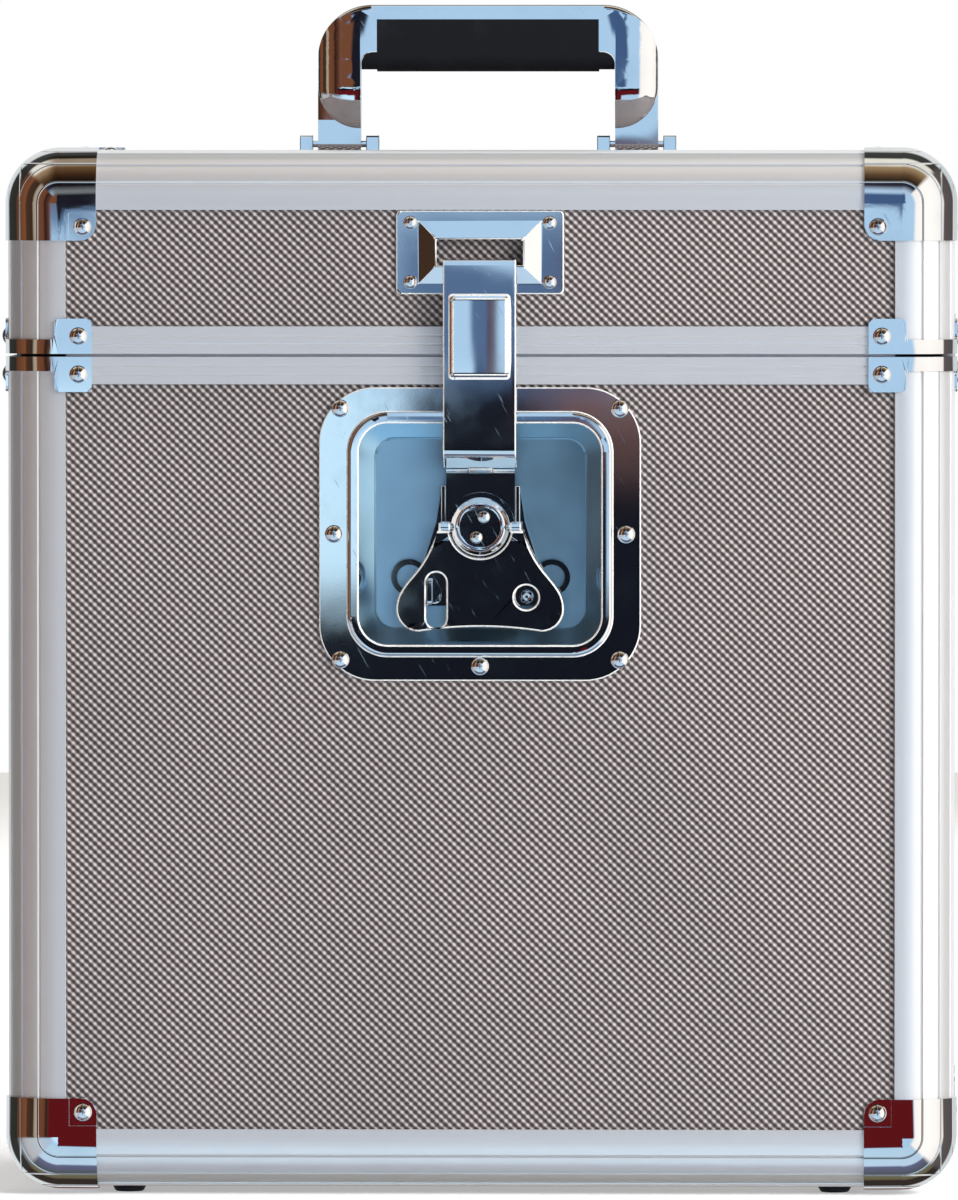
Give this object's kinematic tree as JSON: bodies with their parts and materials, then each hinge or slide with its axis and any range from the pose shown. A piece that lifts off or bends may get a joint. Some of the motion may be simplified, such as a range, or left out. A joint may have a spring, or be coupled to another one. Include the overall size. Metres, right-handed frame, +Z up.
{
  "type": "record carrying case",
  "caption": "Record carrying case: textured board panels in rounded aluminium rails, hinged lid, top handle and a recessed twist latch with hook and keeper.",
  "frame": {"origin": "on the floor, under the middle of the case", "axes": "+X to the right seen from the front, +Y to the back, +Z up"},
  "size_m": [0.3616, 0.2666, 0.4481],
  "materials": {
    "textured_board": "thin board under a grey-brown plastic skin embossed with small diamonds",
    "anodised_aluminium": "satin anodised extrusion",
    "chrome_plate": "bright plated steel",
    "black_rubber": "matte black",
    "foam_lining": "thin black foam"
  },
  "bodies": {
    "case_body": {"body_front_panel": "textured_board", "body_back_panel": "textured_board", "body_left_panel": "textured_board", "body_right_panel": "textured_board", "bottom_panel": "textured_board", "base_pad": "foam_lining", "feet": "black_rubber", "bottom_rails": "anodised_aluminium", "body_seam_frame": "anodised_aluminium", "body_post_front_left": "anodised_aluminium", "body_post_front_right": "anodised_aluminium", "body_post_back_left": "anodised_aluminium", "body_post_back_right": "anodised_aluminium", "body_corner_front_left": "chrome_plate", "body_corner_front_right": "chrome_plate", "body_corner_back_left": "chrome_plate", "body_corner_back_right": "chrome_plate", "body_seam_braces": "chrome_plate", "body_rivets": "chrome_plate", "latch_dish": "chrome_plate", "dish_rivets": "chrome_plate", "latch_base": "chrome_plate", "base_screws": "chrome_plate", "body_hinge_leaves": "chrome_plate", "hinge_pins": "chrome_plate"},
    "lid": {"lid_front_panel": "textured_board", "lid_back_panel": "textured_board", "lid_left_panel": "textured_board", "lid_right_panel": "textured_board", "lid_top_panel": "textured_board", "lid_posts": "anodised_aluminium", "top_rails": "anodised_aluminium", "lid_seam_frame": "anodised_aluminium", "lid_corner_front_left": "chrome_plate", "lid_corner_front_right": "chrome_plate", "lid_corner_back_left": "chrome_plate", "lid_corner_back_right": "chrome_plate", "lid_seam_braces": "chrome_plate", "lid_rivets": "chrome_plate", "lid_hinge_leaves": "chrome_plate", "keeper": "chrome_plate", "keeper_rivets": "chrome_plate", "handle_brackets": "chrome_plate", "bracket_screws": "chrome_plate"},
    "handle": {"handle_arch": "chrome_plate", "handle_grip": "black_rubber", "handle_pins": "chrome_plate"},
    "latch_hub": {"hub_cap": "chrome_plate", "hub_cam": "chrome_plate", "hub_rivets": "chrome_plate", "padlock_eye": "chrome_plate"},
    "latch_wing": {"wing": "chrome_plate", "wing_pin": "chrome_plate"},
    "latch_slider": {"slider": "chrome_plate", "arm_pin": "chrome_plate"},
    "hook": {"hook_arm": "chrome_plate"}
  },
  "joints": [
    {"name": "lid_hinge", "type": "hinge", "parent": "case_body", "child": "lid", "pos_m": [0, 0.1303, 0.3156], "axis": [-1, 0, 0], "range_deg": [0, 105]},
    {"name": "handle_swing", "type": "hinge", "parent": "lid", "child": "handle", "pos_m": [0, 0.0004, 0.3949], "axis": [1, 0, 0], "range_deg": [-75, 75]},
    {"name": "hub_turn", "type": "hinge", "parent": "case_body", "child": "latch_hub", "pos_m": [0, -0.1231, 0.2512], "axis": [0, -1, 0], "range_deg": [0, 180]},
    {"name": "wing_flip", "type": "hinge", "parent": "latch_hub", "child": "latch_wing", "pos_m": [0, -0.1216, 0.2512], "axis": [-1, 0, 0], "range_deg": [0, 90]},
    {"name": "hook_lift", "type": "slide", "parent": "case_body", "child": "latch_slider", "axis": [0, 0, 1], "range_m": [0, 0.007]},
    {"name": "hook_tilt", "type": "hinge", "parent": "latch_slider", "child": "hook", "pos_m": [0, -0.1145, 0.2732], "axis": [1, 0, 0], "range_deg": [-1.6, 20]}
  ],
  "couplings": [
    {"joint": "hub_turn", "follows": "wing_flip", "ratio": 2},
    {"joint": "hook_lift", "follows": "wing_flip", "m_per_rad": 0.0044559}
  ]
}
